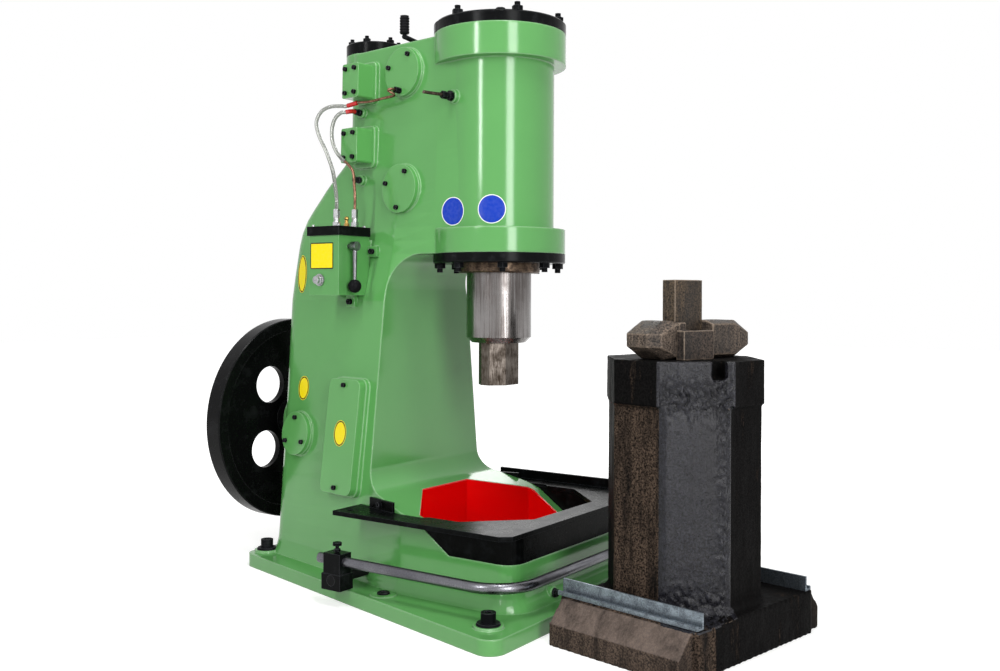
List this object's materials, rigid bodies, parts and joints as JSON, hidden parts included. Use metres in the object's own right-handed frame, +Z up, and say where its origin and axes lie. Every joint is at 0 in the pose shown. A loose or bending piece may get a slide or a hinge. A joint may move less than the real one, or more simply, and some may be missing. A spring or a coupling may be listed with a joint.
{
  "type": "power hammer",
  "caption": "Self-contained air forging hammer with C-shaped column, twin cylinders, ram, flywheel, treadle and oiler, its octagonal anvil standing apart in front.",
  "frame": {"origin": "ram axis at floor level, the centre of the open pit in the base that the anvil stands in when installed", "axes": "+Z up along the ram, -Y to the operator's front, +Y back to the flywheel, -X the side with the oiler"},
  "size_m": [1.024, 1.761, 1.626],
  "materials": {
    "frame_paint": "gloss enamel",
    "cover_paint": "gloss enamel",
    "oil_box_paint": "gloss enamel",
    "black_enamel": "satin enamel",
    "tray_enamel": "satin enamel",
    "wheel_enamel": "satin enamel over turned iron",
    "black_oxide": "black oxide fasteners",
    "ram_steel": "ground and worn",
    "gland_bronze": "oily and stained",
    "bush_bronze": "turned",
    "die_steel": "scaled and lightly rusted",
    "anvil_iron": "rough cast, black with rust",
    "rail_steel": "plain rolled angle",
    "bar_steel": "bright bar",
    "shaft_steel": "turned",
    "fitting_steel": "zinc plated",
    "fitting_brass": "turned",
    "copper_tube": "bare copper",
    "clear_hose": "clear flexible tube",
    "red_sleeve": "red sleeving",
    "black_plastic": "moulded",
    "grip_rubber": "ribbed"
  },
  "bodies": {
    "hammer": {"frame": "frame_paint", "front_cover": "black_enamel", "front_cover_nuts": "black_oxide", "cover_plug": "black_oxide", "rear_cover": "black_enamel", "rear_cover_nuts": "black_oxide", "bottom_cover": "black_enamel", "bottom_cover_nuts": "black_oxide", "gland": "gland_bronze", "upper_valve_cover": "cover_paint", "lower_valve_cover": "cover_paint", "valve_cover_screws": "black_oxide", "upper_port_cover": "cover_paint", "lower_port_cover": "cover_paint", "port_cover_screws": "black_oxide", "access_cover": "cover_paint", "access_cover_screws": "black_oxide", "bearing_cover": "cover_paint", "bearing_cover_screws": "black_oxide", "crank_bearing": "bush_bronze", "drain_plug": "black_oxide", "foundation_bolts": "black_oxide", "foundation_washers": "black_oxide", "oil_box": "oil_box_paint", "oil_box_lid": "black_enamel", "oil_box_lid_screws": "fitting_steel", "oil_box_bolts": "black_oxide", "oil_sight_plug": "fitting_steel", "oil_outlets": "fitting_steel", "oil_vent": "fitting_brass", "oil_hose_rear": "clear_hose", "oil_hose_front": "clear_hose", "oil_sleeves": "red_sleeve", "oil_inlets": "black_oxide", "copper_pipe": "copper_tube", "cylinder_oil_inlet": "black_oxide", "copper_stub": "copper_tube", "tray": "tray_enamel", "tray_screws": "black_oxide", "anvil": "anvil_iron", "anvil_rails": "rail_steel", "die_holder": "anvil_iron", "die_key": "die_steel", "lower_die": "die_steel"},
    "ram": {"ram": "ram_steel", "upper_die": "die_steel"},
    "crank": {"flywheel": "wheel_enamel", "crankshaft": "shaft_steel", "flywheel_key": "shaft_steel", "flywheel_plate": "black_oxide"},
    "treadle": {"treadle_bar": "bar_steel", "treadle_clamps": "black_enamel", "treadle_clamp_screws": "black_oxide", "treadle_shaft": "shaft_steel"},
    "pump_handle": {"pump_lever": "fitting_steel", "pump_ball": "black_plastic"},
    "hand_valve": {"hand_lever": "black_oxide", "hand_lever_grip": "grip_rubber"}
  },
  "joints": [
    {"name": "ram_stroke", "type": "slide", "parent": "hammer", "child": "ram", "axis": [0, 0, 1], "range_m": [0, 0.19]},
    {"name": "crank_turn", "type": "hinge", "parent": "hammer", "child": "crank", "pos_m": [0, 0.8, 0.42], "axis": [0, 1, 0], "continuous": true},
    {"name": "treadle_press", "type": "hinge", "parent": "hammer", "child": "treadle", "pos_m": [0, 0.236, 0.068], "axis": [1, 0, 0], "range_deg": [0, 6], "stiffness_Nm_per_rad": 160, "springref_deg": -20.05},
    {"name": "pump_handle_turn", "type": "hinge", "parent": "hammer", "child": "pump_handle", "pos_m": [-0.24705, 0.33, 0.95276], "axis": [0, 1, 0], "range_deg": [0, 60]},
    {"name": "hand_valve_turn", "type": "hinge", "parent": "hammer", "child": "hand_valve", "pos_m": [-0.04, 0.212, 1.536], "axis": [0, 0, 1], "range_deg": [-45, 40]}
  ]
}
